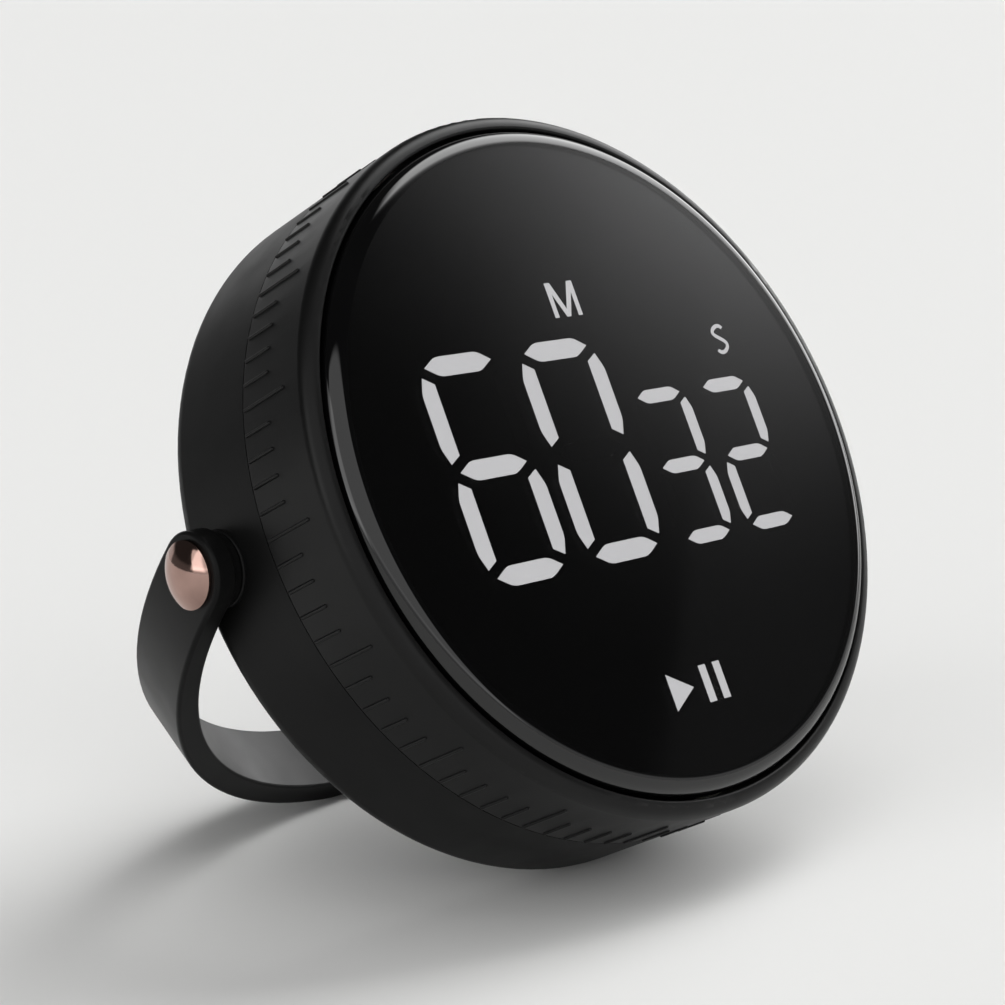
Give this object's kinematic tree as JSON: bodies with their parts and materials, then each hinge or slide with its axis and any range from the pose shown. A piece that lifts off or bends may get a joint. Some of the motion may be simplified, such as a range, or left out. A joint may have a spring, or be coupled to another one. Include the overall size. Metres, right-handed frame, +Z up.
{
  "type": "kitchen timer",
  "caption": "Round kitchen timer: glossy press face with lit digits, turning tick-marked dial ring, and a swinging strap stand.",
  "frame": {"origin": "on the table, at the centre of the standing timer's box", "axes": "+Z up from the table; the display faces -Y and leans back; +X to the right as the display is read, along the stand's pivots"},
  "size_m": [0.089, 0.0636, 0.0791],
  "materials": {
    "case_plastic": "fine satin mould texture",
    "dial_plastic": "satin, raised ticks",
    "strap_plastic": "satin, slightly softer than the case",
    "rose_gold": "polished rose gold plating",
    "lens_tinted": "polished smoked acrylic",
    "mask_black": "printed light block",
    "lit_white": "lit diffuser",
    "unlit_grey": "smoked diffuser, not lit",
    "inner_plastic": "moulded",
    "slip_plastic": "low-friction moulding",
    "reflector_white": "white moulding",
    "board": "green solder mask",
    "cell_foil": "plain foil sleeve",
    "steel": "nickel-plated",
    "magnet_nickel": "nickel-plated, satin"
  },
  "bodies": {
    "case": {"rear_housing": "case_plastic", "contact_plates": "steel", "contact_springs": "steel", "battery_cell_1": "cell_foil", "battery_cell_2": "cell_foil", "battery_cell_3": "cell_foil", "housing_screws": "steel", "chassis": "inner_plastic", "glide_washer": "slip_plastic", "main_pcb": "board", "pcb_screws": "steel", "controller_chip": "inner_plastic", "face_switch_case": "inner_plastic", "ribbon_socket": "inner_plastic", "encoder_case": "inner_plastic", "back_magnets": "magnet_nickel", "buzzer": "inner_plastic", "volume_switch_case": "inner_plastic", "friction_washer_left": "slip_plastic", "friction_washer_right": "slip_plastic"},
    "dial": {"tick_ring": "dial_plastic", "gear_ring": "slip_plastic"},
    "face": {"face_frame": "inner_plastic", "face_screws": "steel", "face_switch_stem": "inner_plastic", "ribbon_cable": "reflector_white", "display_pcb": "board", "led_chips": "reflector_white", "segment_reflector": "reflector_white", "minute_segments": "lit_white", "second_segments": "lit_white", "unlit_segments": "unlit_grey", "display_mask": "mask_black", "legend_letters": "lit_white", "start_pause_icon": "lit_white", "front_lens": "lens_tinted"},
    "encoder": {"encoder_shaft": "steel", "encoder_pinion": "slip_plastic"},
    "stand": {"stand_strap": "strap_plastic", "rivet_cap_left": "rose_gold", "rivet_cap_right": "rose_gold", "pivot_pin_left": "steel", "pivot_pin_right": "steel", "pivot_spacer_left": "strap_plastic", "pivot_spacer_right": "strap_plastic", "pivot_clip_left": "steel", "pivot_clip_right": "steel"},
    "battery_door": {"battery_cover": "case_plastic"},
    "volume_slider": {"volume_switch_knob": "inner_plastic"}
  },
  "joints": [
    {"name": "dial_turn", "type": "hinge", "parent": "case", "child": "dial", "pos_m": [0, -0.00781, 0.04164], "axis": [0, -0.8887, 0.4586], "continuous": true},
    {"name": "encoder_turn", "type": "hinge", "parent": "case", "child": "encoder", "pos_m": [0, -0.0158, 0.01111], "axis": [0, -0.8887, 0.4586], "continuous": true},
    {"name": "face_press", "type": "slide", "parent": "case", "child": "face", "axis": [0, 0.8887, -0.4586], "range_m": [0, 0.0005], "stiffness_N_per_m": 1500, "springref_m": -0.001},
    {"name": "stand_swing", "type": "hinge", "parent": "case", "child": "stand", "pos_m": [0, 0.0025, 0.03632], "axis": [1, 0, 0], "range_deg": [-64, 116]},
    {"name": "battery_door_off", "type": "slide", "parent": "case", "child": "battery_door", "axis": [0, 0.8887, -0.4586], "range_m": [0, 0.012]},
    {"name": "volume_slide", "type": "slide", "parent": "case", "child": "volume_slider", "axis": [1, 0, 0], "range_m": [0, 0.004]}
  ],
  "couplings": [
    {"joint": "encoder_turn", "follows": "dial_turn", "ratio": 8}
  ]
}
